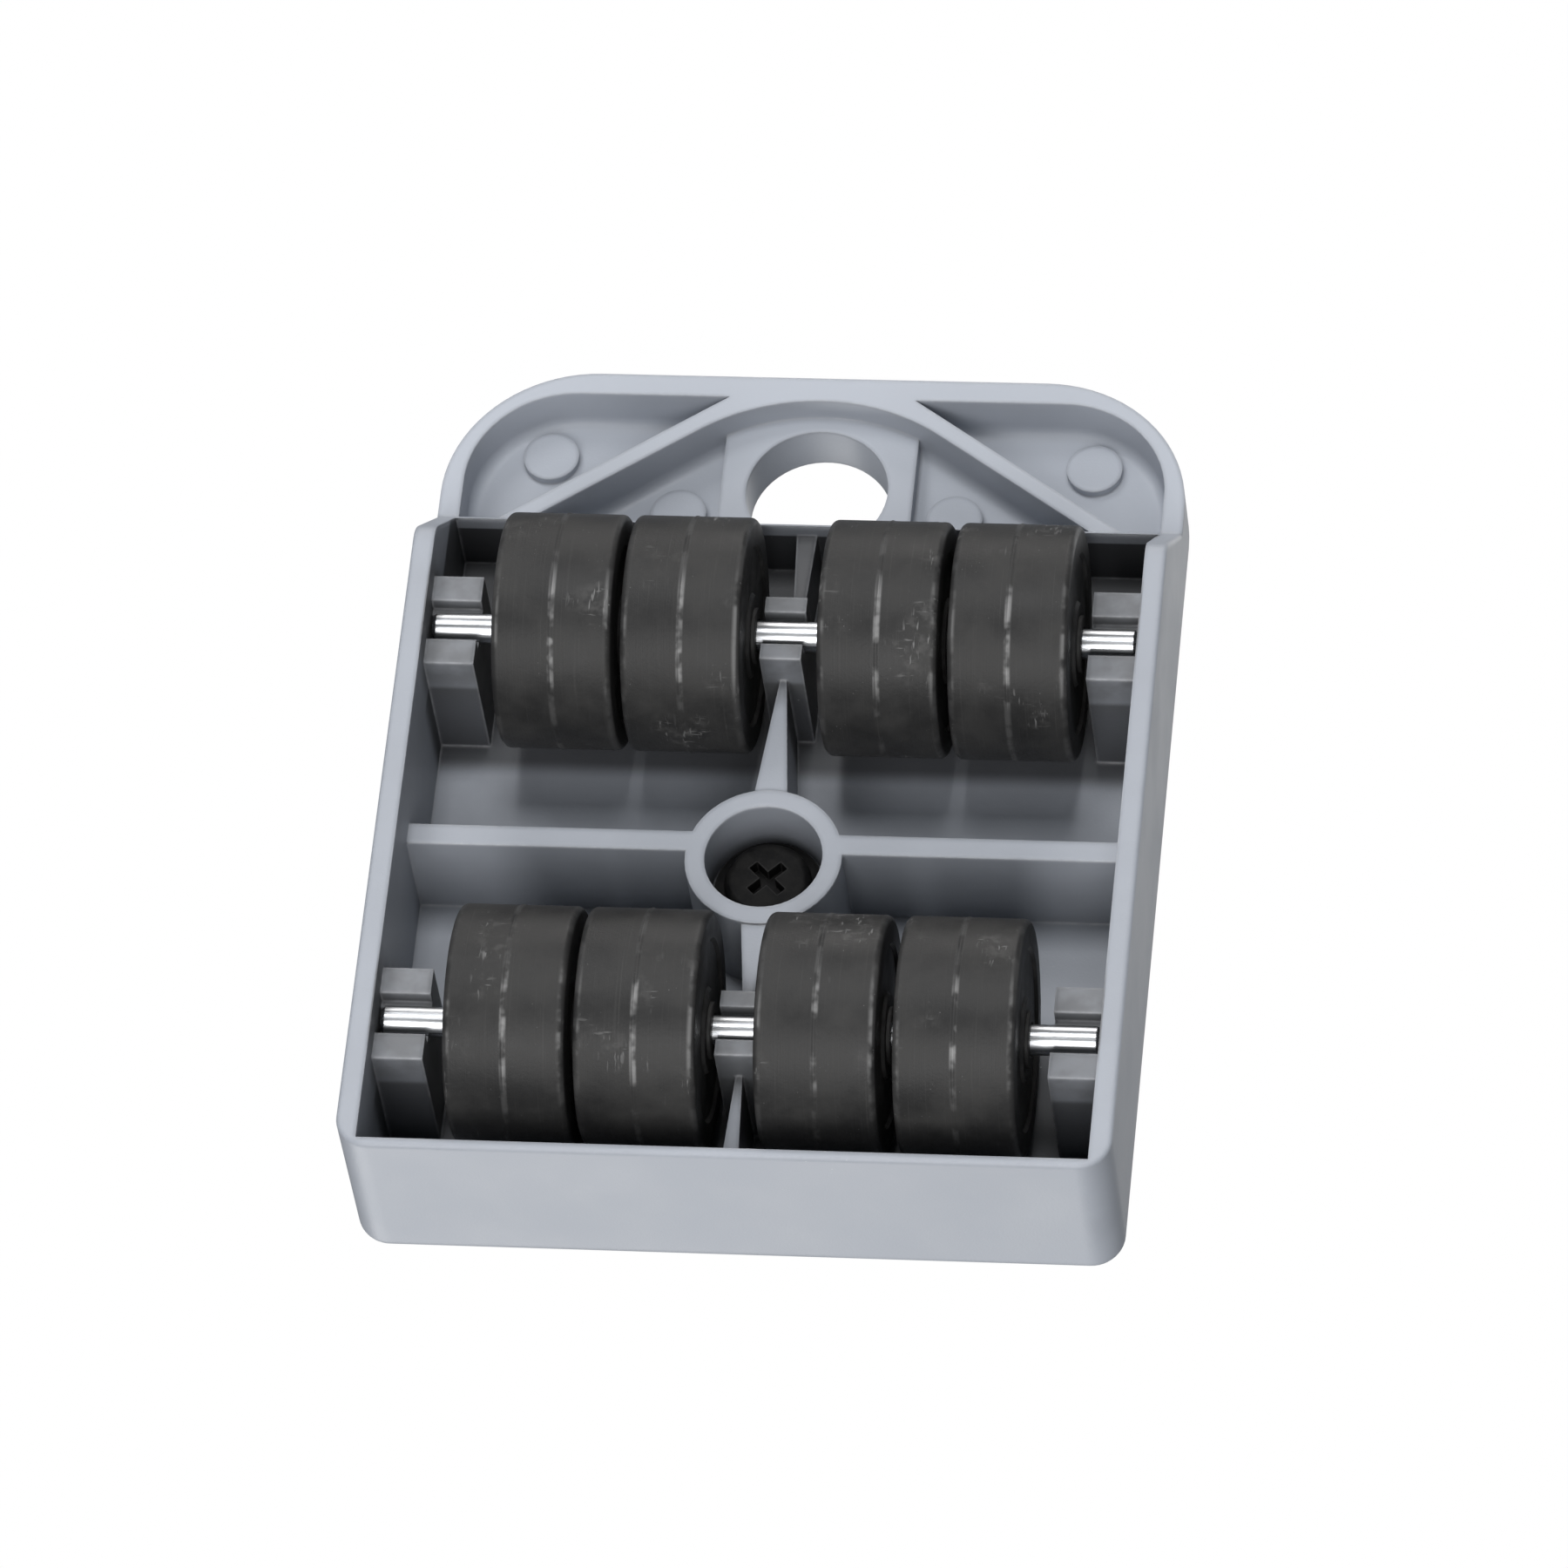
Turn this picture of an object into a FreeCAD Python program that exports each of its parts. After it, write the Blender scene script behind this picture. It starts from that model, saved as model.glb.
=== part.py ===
import FreeCAD, Part
import os
import Sketcher

# One pad of a furniture mover set, in millimetres, standing on its wheels.
# +Z is up and the floor is Z = 0. +Y points from the plain front wall to the lip with the pull hole.
# The origin is on the floor, under the middle of the tray's outline.

DIMENSIONS = {
    # tray outline
    "tray_length": 105.0,
    "tray_width": 80.0,
    "front_corner": 3.5,
    "lip_corner": 15.9,
    "lip_inner_corner": 11.5,
    "side_wall": 2.3,
    "front_wall": 1.0,
    "lip_wall": 2.6,
    "back_wall": 1.3,
    "plate": 2.2,
    "lip_plate": 3.4,
    "lip_floor_round": 1.2,
    "edge_round": 2.0,
    "rim_round": 0.4,
    # heights above the floor
    "plate_top": 28.9,
    "rim_level": 7.9,
    "lip_level": 19.9,
    "collar_level": 23.1,
    "boss_level": 14.6,
    "rib_level": 14.9,
    "cradle_level": 10.9,
    "ledge_level": 21.9,
    # places along Y
    "middle_y": -10.2,
    "pivot_y": -11.9,
    "wall_end_y": 24.0,
    "bay_end_y": 32.2,
    "hole_y": 40.1,
    "wall_end_round": 3.0,
    # pivot boss
    "boss_diameter": 16.5,
    "boss_bore": 12.4,
    "post_bore": 9.6,
    # ribs
    "cross_rib": 2.4,
    "spine_at_boss": 5.0,
    "spine_at_cradle": 0.7,
    "spine_at_front": 2.0,
    "spine_at_back": 2.2,
    "lip_rib": 1.9,
    "arch_foot": 30.1,
    "arch_apex_y": 54.6,
    "arch_radius": 22.6,
    # pull hole and the round pads left by the mould's pins
    "hole_diameter": 15.3,
    "collar_width": 20.8,
    "pin_pad": 6.0,
    "pin_pad_step": 0.9,
    "outer_pad_x": 29.4,
    "outer_pad_y": 44.8,
    "inner_pad_x": 14.9,
    "inner_pad_y": 37.8,
    # axles and their cradles
    "axle_diameter": 3.2,
    "axle_length": 74.8,
    "axle_chamfer": 0.4,
    "axle_spacing": 48.9,
    "seat_diameter": 3.26,
    "side_slot": 4.9,
    "mid_slot": 4.0,
    "side_cradle_length": 11.0,
    "side_cradle_x": 32.4,
    "mid_cradle_length": 7.8,
    "mid_cradle_width": 4.4,
    # wheels
    "wheel_diameter": 25.0,
    "wheel_width": 12.6,
    "wheel_bore": 3.36,
    "hub_diameter": 6.0,
    "hub_step": 0.4,
    "tread_round": 0.7,
    "seam_width": 0.5,
    "seam_height": 0.08,
    # where each wheel stands along its axle, within its sideways play
    "front_wheel_1_x": -23.5,
    "front_wheel_2_x": -9.2,
    "front_wheel_3_x": 9.4,
    "front_wheel_4_x": 22.9,
    "rear_wheel_1_x": -24.9,
    "rear_wheel_2_x": -11.2,
    "rear_wheel_3_x": 9.5,
    "rear_wheel_4_x": 23.1,
    # turntable, pad, washer and screw
    "table_diameter": 74.0,
    "table_thickness": 3.2,
    "table_gap": 0.2,
    "table_round": 1.0,
    "slide_ring_inner": 60.0,
    "slide_ring_outer": 66.0,
    "slide_ring_height": 0.15,
    "post_diameter": 9.5,
    "end_play": 0.1,
    "pad_diameter": 68.6,
    "pad_thickness": 2.8,
    "pad_round": 0.8,
    "recess_diameter": 69.0,
    "recess_depth": 1.2,
    "washer_diameter": 11.6,
    "washer_bore": 4.3,
    "washer_thickness": 0.8,
    "head_diameter": 9.2,
    "head_height": 2.2,
    "head_round": 0.9,
    "shank_diameter": 4.0,
    "shank_length": 9.0,
    "shank_tip": 1.6,
    "pilot_diameter": 4.04,
    "pilot_spare": 0.5,
    "cross_arm": 4.6,
    "cross_width": 1.1,
    "cross_depth": 1.6,
    "screw_turn": 45.0,
}

# Expressions that several sub-parts share.
D = "Dimensions."
INNER_X = "({0}tray_width / 2 - {0}side_wall)".format(D)
BAY_FRONT_Y = "({0}front_wall - {0}tray_length / 2)".format(D)
BACK_WALL_Y = "({0}bay_end_y + {0}back_wall)".format(D)
FLOOR_Z = "({0}plate_top - {0}plate)".format(D)
LIP_FLOOR_Z = "({0}plate_top - {0}lip_plate)".format(D)
MID_PLATE_Z = "({0}plate_top - {0}plate / 2)".format(D)
AXLE_Z = "{0}wheel_diameter / 2".format(D)
FRONT_AXLE_Y = "({0}middle_y - {0}axle_spacing / 2)".format(D)
REAR_AXLE_Y = "({0}middle_y + {0}axle_spacing / 2)".format(D)
POST_END_Z = "({0}ledge_level - {0}end_play)".format(D)
WASHER_Z = "({0}ledge_level - {0}end_play - {0}washer_thickness)".format(D)
ARCH_RISE = "({0}arch_apex_y - {1})".format(D, BACK_WALL_Y)
ARCH_SLANT = "sqrt({0}arch_foot^2 + {1}^2)".format(D, ARCH_RISE)
TABLE_Z = "({0}plate_top + {0}table_gap)".format(D)
RECESS_Z = "({0}plate_top + {0}table_gap + {0}table_thickness - {0}recess_depth)".format(D)
NEAR = 1e-4

doc = FreeCAD.newDocument("furniture_mover_roller")


def make_sheet():
    """Fills the spreadsheet with the driving dimensions, one aliased cell each."""
    made = doc.addObject("Spreadsheet::Sheet", "Dimensions")
    for row, (alias, number) in enumerate(DIMENSIONS.items(), start=1):
        made.set("A%d" % row, alias)
        made.set("B%d" % row, str(number))
        made.setAlias("B%d" % row, alias)
    doc.recompute()
    return made


sheet = make_sheet()


def value(expression):
    """The number that an expression over the sheet gives now."""
    return float(sheet.evalExpression(expression))


def new_body(name, x="0", y="0", z="0"):
    """An empty body whose place is bound to the sheet."""
    body = doc.addObject("PartDesign::Body", name)
    body.Label = name
    for axis, expression in (("x", x), ("y", y), ("z", z)):
        body.setExpression(".Placement.Base." + axis, expression)
    return body


def new_sketch(body, name, role, offset="0"):
    """A sketch on one of the body's origin planes, moved along the plane's normal."""
    plane = next(item for item in body.Origin.OriginFeatures if item.Role == role)
    sketch = body.newObject("Sketcher::SketchObject", name)
    sketch.AttachmentSupport = [(plane, "")]
    sketch.MapMode = "FlatFace"
    sketch.setExpression(".AttachmentOffset.Base.z", offset)
    return sketch


def bind_point(sketch, geometry, vertex, x, y):
    """Fixes a sketch point at two expressions, measured from the sketch's origin."""
    for kind, expression, axis in (("DistanceX", x, -2), ("DistanceY", y, -1)):
        number = value(expression)
        if abs(number) < NEAR:
            sketch.addConstraint(Sketcher.Constraint("PointOnObject", geometry, vertex, axis))
            continue
        index = sketch.addConstraint(Sketcher.Constraint(kind, -1, 1, geometry, vertex, number))
        sketch.setExpression("Constraints[%d]" % index, expression)


def add_polygon(sketch, corners):
    """A closed outline. Each corner is a pair of expressions."""
    points = [FreeCAD.Vector(value(x), value(y), 0) for x, y in corners]
    first = sketch.GeometryCount
    count = len(points)
    for index in range(count):
        sketch.addGeometry(Part.LineSegment(points[index], points[(index + 1) % count]), False)
    for index, (x, y) in enumerate(corners):
        before = first + (index - 1) % count
        sketch.addConstraint(Sketcher.Constraint("Coincident", before, 2, first + index, 1))
        bind_point(sketch, first + index, 1, x, y)


def round_corner(sketch, corner, sides, radius):
    """Rounds one corner of a sketch's only outline, which has a number of straight sides."""
    before = (corner - 1) % sides
    far_ends = (sketch.getPoint(before, 1), sketch.getPoint(corner, 2))
    sketch.fillet(before, corner, far_ends[0], far_ends[1], value(radius), True, True)
    arc = sketch.GeometryCount - 2
    size = sketch.addConstraint(Sketcher.Constraint("Radius", arc, value(radius)))
    sketch.setExpression("Constraints[%d]" % size, radius)


def add_rectangle(sketch, low_x, high_x, low_y, high_y):
    """A rectangle between four expressions."""
    add_polygon(sketch, [(low_x, low_y), (high_x, low_y), (high_x, high_y), (low_x, high_y)])


def add_circle(sketch, x, y, diameter):
    """A circle with a bound centre and diameter."""
    centre = FreeCAD.Vector(value(x), value(y), 0)
    index = sketch.addGeometry(Part.Circle(centre, FreeCAD.Vector(0, 0, 1), value(diameter) / 2), False)
    bind_point(sketch, index, 3, x, y)
    size = sketch.addConstraint(Sketcher.Constraint("Diameter", index, value(diameter)))
    sketch.setExpression("Constraints[%d]" % size, diameter)


def pad(body, sketch, length, down=False, both_ways=False):
    """Adds material on a sketch, and stops if the solid doesn't grow."""
    before = volume(body)
    feature = body.newObject("PartDesign::Pad", sketch.Name + "_pad")
    feature.Profile = sketch
    feature.setExpression("Length", length)
    feature.Reversed = down
    feature.Midplane = both_ways
    return settled(body, feature, before, grows=True)


def pocket(body, sketch, length, up=False, both_ways=False):
    """Removes material below a sketch, or above it, and stops if nothing is cut."""
    before = volume(body)
    feature = body.newObject("PartDesign::Pocket", sketch.Name + "_pocket")
    feature.Profile = sketch
    feature.setExpression("Length", length)
    feature.Reversed = up
    feature.Midplane = both_ways
    return settled(body, feature, before, grows=False)


def revolve(body, sketch, axis):
    """Turns a sketch a full circle about one of its axes."""
    before = volume(body)
    feature = body.newObject("PartDesign::Revolution", sketch.Name + "_revolution")
    feature.Profile = sketch
    feature.ReferenceAxis = (sketch, [axis])
    feature.Angle = 360
    return settled(body, feature, before, grows=True)


def dress(body, kind, base, edges, size, name):
    """Rounds or chamfers edges of the base feature, named in the body's own frame."""
    if not edges:
        raise RuntimeError("no edges for " + name)
    feature = body.newObject("PartDesign::" + kind, name)
    feature.Base = (base, edges)
    feature.setExpression("Radius" if kind == "Fillet" else "Size", size)
    doc.recompute()
    return feature


def volume(body):
    """The body's volume so far."""
    return 0.0 if body.Tip is None or body.Shape.isNull() else body.Shape.Volume


def settled(body, feature, before, grows):
    """Recomputes, and checks that a feature changed the solid the right way."""
    doc.recompute()
    change = volume(body) - before
    if (change if grows else -change) < NEAR:
        raise RuntimeError("%s changed the volume by %.4f" % (feature.Name, change))
    return feature


def edges_where(feature, test):
    """Names of the feature's edges whose shape passes a test."""
    return ["Edge%d" % (index + 1) for index, edge in enumerate(feature.Shape.Edges) if test(edge)]


def is_upright(edge):
    """True for an edge that runs along Z."""
    return edge.BoundBox.ZLength > 1 and edge.BoundBox.XLength < NEAR and edge.BoundBox.YLength < NEAR


def lies_at_z(edge, level):
    """True for an edge that lies flat at a height."""
    return abs(edge.BoundBox.ZMin - level) < NEAR and abs(edge.BoundBox.ZMax - level) < NEAR


def mirrored(corners):
    """The same outline on the other side of X = 0."""
    return [("-(%s)" % x, y) for x, y in reversed(corners)]


def tray_block(body):
    """The tray's outer form: a rounded plate with deep walls in front and a shallow lip behind."""
    outline = new_sketch(body, "tray_outline", "XY_Plane", D + "plate_top")
    half_width = D + "tray_width / 2"
    half_length = D + "tray_length / 2"
    add_rectangle(outline, "-" + half_width, half_width, "-" + half_length, half_length)
    block = pad(body, outline, "{0}plate_top - {0}rim_level".format(D), down=True)
    for name, size, sign in (("front_corners", "front_corner", -1), ("lip_corners", "lip_corner", 1)):
        corners = edges_where(block, lambda edge: is_upright(edge) and edge.BoundBox.YMin * sign > 0)
        block = dress(body, "Fillet", block, corners, D + size, name)
    # The side walls end in a slope that runs down to the lip's rim, just behind the wheel bay.
    step = new_sketch(body, "lip_step", "YZ_Plane")
    below = "({0}rim_level - 1)".format(D)
    beyond = "({0}tray_length / 2 + 1)".format(D)
    slope = "(({0}lip_level - {0}rim_level) / ({1} - {0}wall_end_y))".format(D, BACK_WALL_Y)
    low_corner = (D + "wall_end_y - 1 / " + slope, below)
    lip_level = D + "lip_level"
    add_polygon(step, [low_corner, (beyond, below), (beyond, lip_level), (BACK_WALL_Y, lip_level)])
    block = pocket(body, step, D + "tray_width + 2", both_ways=True)
    # Soft outer edges: the wall ends, the top edge of the plate and the rims.
    ends = edges_where(block, lambda edge: abs(edge.BoundBox.YMin - value(D + "wall_end_y")) < NEAR
                       and edge.BoundBox.YLength < NEAR)
    block = dress(body, "Fillet", block, ends, D + "wall_end_round", "wall_ends")
    top = edges_where(block, lambda edge: lies_at_z(edge, value(D + "plate_top")))
    block = dress(body, "Fillet", block, top, D + "edge_round", "plate_edge")
    rim = edges_where(block, lambda edge: lies_at_z(edge, value(D + "rim_level")) and edge.BoundBox.YMax < 0)
    return dress(body, "Fillet", block, rim[:1], D + "rim_round", "rim_edge")


def wheel_bay(body):
    """The deep box that the wheels sit in, open below."""
    sketch = new_sketch(body, "wheel_bay", "XY_Plane", FLOOR_Z)
    add_rectangle(sketch, "-" + INNER_X, INNER_X, BAY_FRONT_Y, D + "bay_end_y")
    pocket(body, sketch, "{0} - {1}rim_level + 1".format(FLOOR_Z, D))


def lip_recess(body):
    """The lip's shallow hollow, which leaves a rib that slants up each side and arches over the hole."""
    end_y = "({0}tray_length / 2 - {0}lip_wall)".format(D)
    foot = D + "arch_foot"
    # The rib's thickness and its run up to the end wall, both measured along X.
    shift = "({0}lip_rib * {1} / {2})".format(D, ARCH_SLANT, ARCH_RISE)
    run = "(({0} - {1}) * {2} / {3})".format(end_y, BACK_WALL_Y, foot, ARCH_RISE)
    middle = [("-" + foot, BACK_WALL_Y), (foot, BACK_WALL_Y), ("0", D + "arch_apex_y")]
    side = [
        ("{0} + {1}".format(foot, shift), BACK_WALL_Y),
        (INNER_X, BACK_WALL_Y),
        (INNER_X, end_y),
        ("{0} + {1} - {2}".format(foot, shift, run), end_y),
    ]
    hollows = (
        ("lip_middle", middle, 2, "arch_radius"),
        ("lip_right", side, 2, "lip_inner_corner"),
        ("lip_left", mirrored(side), 1, "lip_inner_corner"),
    )
    for name, corners, rounded, radius in hollows:
        sketch = new_sketch(body, name, "XY_Plane", LIP_FLOOR_Z)
        add_polygon(sketch, corners)
        round_corner(sketch, rounded, len(corners), D + radius)
        hollow = pocket(body, sketch, "{0} - {1}lip_level + 1".format(LIP_FLOOR_Z, D))
    floor_edges = edges_where(hollow, lambda edge: lies_at_z(edge, value(LIP_FLOOR_Z)))
    dress(body, "Fillet", hollow, floor_edges, D + "lip_floor_round", "lip_floor_edges")


def pull_hole(body):
    """The hole in the lip, through a raised block that runs from the back wall into the arch."""
    half = D + "collar_width / 2"
    arch_y = "({0}arch_apex_y - {0}arch_radius * {1} / {0}arch_foot)".format(D, ARCH_SLANT)
    side_y = "({0} + sqrt({1}arch_radius^2 - ({2})^2) + {1}lip_rib / 2)".format(arch_y, D, half)
    tip_y = "({0} + {1}arch_radius + {1}lip_rib / 2)".format(arch_y, D)
    collar = new_sketch(body, "collar", "XY_Plane", MID_PLATE_Z)
    add_polygon(collar, [("-" + half, D + "bay_end_y"), (half, D + "bay_end_y"),
                         (half, side_y), ("0", tip_y), ("-" + half, side_y)])
    pad(body, collar, "{0} - {1}collar_level".format(MID_PLATE_Z, D), down=True)
    hole = new_sketch(body, "pull_hole", "XY_Plane", D + "plate_top")
    add_circle(hole, "0", D + "hole_y", D + "hole_diameter")
    pocket(body, hole, "{0}plate_top - {0}lip_level".format(D))


def pin_pads(body):
    """Four low round pads on the lip's floor."""
    sketch = new_sketch(body, "pin_pads", "XY_Plane", MID_PLATE_Z)
    for side in ("", "-"):
        add_circle(sketch, side + D + "outer_pad_x", D + "outer_pad_y", D + "pin_pad")
        add_circle(sketch, side + D + "inner_pad_x", D + "inner_pad_y", D + "pin_pad")
    pad(body, sketch, "{0} - {1} + {2}pin_pad_step".format(MID_PLATE_Z, LIP_FLOOR_Z, D), down=True)


def cross_rib(body):
    """The rib across the tray, through the pivot boss."""
    sketch = new_sketch(body, "cross_rib", "XY_Plane", MID_PLATE_Z)
    low_y = "{0}middle_y - {0}cross_rib / 2".format(D)
    high_y = "{0}middle_y + {0}cross_rib / 2".format(D)
    add_rectangle(sketch, "-" + INNER_X, INNER_X, low_y, high_y)
    pad(body, sketch, "{0} - {1}boss_level".format(MID_PLATE_Z, D), down=True)


def spine(body):
    """The rib along the middle, in four stretches that narrow towards the two middle cradles."""
    front_face = "({0} - {1}mid_cradle_length / 2)"
    rear_face = "({0} + {1}mid_cradle_length / 2)"
    stretches = (
        ("spine_front", BAY_FRONT_Y, "spine_at_front", front_face.format(FRONT_AXLE_Y, D), "rib_level"),
        ("spine_front_mid", D + "pivot_y", "spine_at_boss", rear_face.format(FRONT_AXLE_Y, D), "rib_level"),
        ("spine_rear_mid", D + "pivot_y", "spine_at_boss", front_face.format(REAR_AXLE_Y, D), "rib_level"),
        ("spine_rear", D + "bay_end_y", "spine_at_back", rear_face.format(REAR_AXLE_Y, D), "lip_level"),
    )
    narrow = D + "spine_at_cradle / 2"
    for name, wide_y, width, narrow_y, level in stretches:
        wide = "{0}{1} / 2".format(D, width)
        sketch = new_sketch(body, name, "XY_Plane", MID_PLATE_Z)
        add_polygon(sketch, [("-" + wide, wide_y), (wide, wide_y),
                             (narrow, narrow_y), ("-" + narrow, narrow_y)])
        pad(body, sketch, "{0} - {1}{2}".format(MID_PLATE_Z, D, level), down=True)


def cradles(body):
    """Six open seats for the two axles: one on each side wall and one in the middle."""
    half_width = D + "mid_cradle_width / 2"
    spans = {
        "side": [(D + "side_cradle_x", INNER_X), ("-" + INNER_X, "-" + D + "side_cradle_x")],
        "mid": [("-" + half_width, half_width)],
    }
    cut_lengths = {"side": "2 * " + INNER_X, "mid": D + "mid_cradle_width + 0.4"}
    for kind, places in spans.items():
        blocks = new_sketch(body, kind + "_cradles", "XY_Plane", MID_PLATE_Z)
        slots = new_sketch(body, kind + "_slots", "YZ_Plane")
        seats = new_sketch(body, kind + "_seats", "YZ_Plane")
        reach = "{0}{1}_cradle_length / 2".format(D, kind)
        slot = "{0}{1}_slot / 2".format(D, kind)
        for axle_y in (FRONT_AXLE_Y, REAR_AXLE_Y):
            for low_x, high_x in places:
                add_rectangle(blocks, low_x, high_x, "{0} - {1}".format(axle_y, reach),
                              "{0} + {1}".format(axle_y, reach))
            add_rectangle(slots, "{0} - {1}".format(axle_y, slot), "{0} + {1}".format(axle_y, slot),
                          D + "cradle_level - 1", AXLE_Z)
            add_circle(seats, axle_y, AXLE_Z, D + "seat_diameter")
        pad(body, blocks, "{0} - {1}cradle_level".format(MID_PLATE_Z, D), down=True)
        pocket(body, slots, cut_lengths[kind], both_ways=True)
        pocket(body, seats, cut_lengths[kind], both_ways=True)


def pivot_boss(body):
    """The round boss, with a bearing hole for the turntable's post and a wide bore for washer and screw."""
    boss = new_sketch(body, "boss", "XY_Plane", MID_PLATE_Z)
    add_circle(boss, "0", D + "pivot_y", D + "boss_diameter")
    pad(body, boss, "{0} - {1}boss_level".format(MID_PLATE_Z, D), down=True)
    bore = new_sketch(body, "boss_bore", "XY_Plane", D + "ledge_level")
    add_circle(bore, "0", D + "pivot_y", D + "boss_bore")
    pocket(body, bore, "{0}ledge_level - {0}boss_level + 1".format(D))
    bearing = new_sketch(body, "post_bearing", "XY_Plane", D + "plate_top")
    add_circle(bearing, "0", D + "pivot_y", D + "post_bore")
    pocket(body, bearing, "{0}plate_top - {0}ledge_level + 1".format(D))


def base_housing():
    """The grey moulded tray, one piece."""
    body = new_body("base_housing")
    tray_block(body)
    wheel_bay(body)
    lip_recess(body)
    pull_hole(body)
    pin_pads(body)
    cross_rib(body)
    spine(body)
    cradles(body)
    pivot_boss(body)


def axle(name, y):
    """A plain steel rod with chamfered ends."""
    body = new_body(name, y=y, z=AXLE_Z)
    sketch = new_sketch(body, name + "_round", "YZ_Plane")
    add_circle(sketch, "0", "0", D + "axle_diameter")
    rod = pad(body, sketch, D + "axle_length", both_ways=True)
    ends = edges_where(rod, lambda edge: edge.BoundBox.XLength < NEAR)
    dress(body, "Chamfer", rod, ends, D + "axle_chamfer", name + "_ends")


def wheel(name, x, y):
    """A solid moulded wheel with a low hub on each face and a fine moulding line round the tread."""
    body = new_body(name, x=x, y=y, z=AXLE_Z)
    sketch = new_sketch(body, name + "_profile", "XZ_Plane")
    face = D + "wheel_width / 2"
    hub_face = "({0}wheel_width / 2 + {0}hub_step)".format(D)
    bore = D + "wheel_bore / 2"
    hub = D + "hub_diameter / 2"
    tread = "({0}wheel_diameter / 2 - {0}seam_height)".format(D)
    seam = D + "seam_width / 2"
    crest = D + "wheel_diameter / 2"
    half = [(hub_face, bore), (hub_face, hub), (face, hub), (face, tread), (seam, tread), (seam, crest)]
    add_polygon(sketch, half + mirrored(half))
    turned = revolve(body, sketch, "H_Axis")
    tread_radius = value(tread)
    shoulders = edges_where(turned, lambda edge: edge.BoundBox.XLength < NEAR
                            and abs(edge.BoundBox.ZMax - tread_radius) < NEAR
                            and abs(edge.BoundBox.XMin) > value(seam) + NEAR)
    dress(body, "Fillet", turned, shoulders, D + "tread_round", name + "_shoulders")


def turntable():
    """The disc that carries the load: slide ring and pivot post below, recess for the pad above."""
    body = new_body("turntable", y=D + "pivot_y")
    sketch = new_sketch(body, "turntable_profile", "XZ_Plane")
    top = "({0} + {1}table_thickness)".format(TABLE_Z, D)
    ring_z = "({0} - {1}slide_ring_height)".format(TABLE_Z, D)
    pilot_top = "({0} + {1}shank_length + {1}pilot_spare)".format(WASHER_Z, D)
    pilot = D + "pilot_diameter / 2"
    post = D + "post_diameter / 2"
    ring_in = D + "slide_ring_inner / 2"
    ring_out = D + "slide_ring_outer / 2"
    edge = D + "table_diameter / 2"
    recess = D + "recess_diameter / 2"
    add_polygon(sketch, [
        (pilot, POST_END_Z), (post, POST_END_Z), (post, TABLE_Z), (ring_in, TABLE_Z), (ring_in, ring_z),
        (ring_out, ring_z), (ring_out, TABLE_Z), (edge, TABLE_Z), (edge, top), (recess, top),
        (recess, RECESS_Z), ("0", RECESS_Z), ("0", pilot_top), (pilot, pilot_top),
    ])
    disc = revolve(body, sketch, "V_Axis")
    rims = edges_where(disc, lambda item: abs(item.BoundBox.XMax - value(edge)) < NEAR
                       and item.BoundBox.ZLength < NEAR)
    dress(body, "Fillet", disc, rims, D + "table_round", "turntable_rim")


def anti_slip_pad():
    """The rubber disc that grips the furniture."""
    body = new_body("anti_slip_pad", y=D + "pivot_y", z=RECESS_Z)
    sketch = new_sketch(body, "pad_round_outline", "XY_Plane")
    add_circle(sketch, "0", "0", D + "pad_diameter")
    disc = pad(body, sketch, D + "pad_thickness")
    top = edges_where(disc, lambda edge: lies_at_z(edge, value(D + "pad_thickness")))
    dress(body, "Fillet", disc, top, D + "pad_round", "pad_edge")


def pivot_washer():
    """The washer that keeps the post from lifting out of its bearing hole."""
    body = new_body("pivot_washer", y=D + "pivot_y", z=WASHER_Z)
    sketch = new_sketch(body, "washer_rings", "XY_Plane")
    add_circle(sketch, "0", "0", D + "washer_diameter")
    add_circle(sketch, "0", "0", D + "washer_bore")
    pad(body, sketch, D + "washer_thickness")


def pivot_screw():
    """The cross-head screw up the middle of the post, head downwards."""
    body = new_body("pivot_screw", y=D + "pivot_y", z=WASHER_Z)
    body.setExpression(".Placement.Rotation.Angle", D + "screw_turn")
    sketch = new_sketch(body, "screw_profile", "XZ_Plane")
    head = D + "head_diameter / 2"
    shank = D + "shank_diameter / 2"
    add_polygon(sketch, [
        ("0", "-{0}head_height".format(D)), (head, "-{0}head_height".format(D)), (head, "0"), (shank, "0"),
        (shank, "{0}shank_length - {0}shank_tip".format(D)), ("0", D + "shank_length"),
    ])
    turned = revolve(body, sketch, "V_Axis")
    crown = edges_where(turned, lambda edge: lies_at_z(edge, -value(D + "head_height")))
    turned = dress(body, "Fillet", turned, crown, D + "head_round", "screw_crown")
    recess = new_sketch(body, "cross_recess", "XY_Plane", "-{0}head_height".format(D))
    arm = D + "cross_arm / 2"
    half = D + "cross_width / 2"
    quarter = [(arm, half), (half, half), (half, arm)]
    # Each quarter of the cross is the first one turned by a right angle.
    corners = []
    for turn in range(4):
        corners += quarter
        quarter = [("-(%s)" % y, x) for x, y in quarter]
    add_polygon(recess, corners)
    pocket(body, recess, D + "cross_depth", up=True)


def wheels():
    """Two rows of four, each wheel where it stands along its axle."""
    for row, y in (("front", FRONT_AXLE_Y), ("rear", REAR_AXLE_Y)):
        for number in range(1, 5):
            name = "%s_wheel_%d" % (row, number)
            wheel(name, D + name + "_x", y)


def check_document():
    """Stops if any object failed or any sub-part isn't one valid solid."""
    for item in doc.Objects:
        if "Invalid" in item.State or "Error" in item.State:
            raise RuntimeError("%s is in state %s" % (item.Name, item.State))
    for body in sub_parts():
        shape = body.Shape
        if shape.isNull() or not shape.isValid() or len(shape.Solids) != 1:
            raise RuntimeError("%s isn't one valid solid" % body.Label)


def sub_parts():
    """The bodies, one for each separate piece."""
    return [item for item in doc.Objects if item.TypeId == "PartDesign::Body"]


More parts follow.
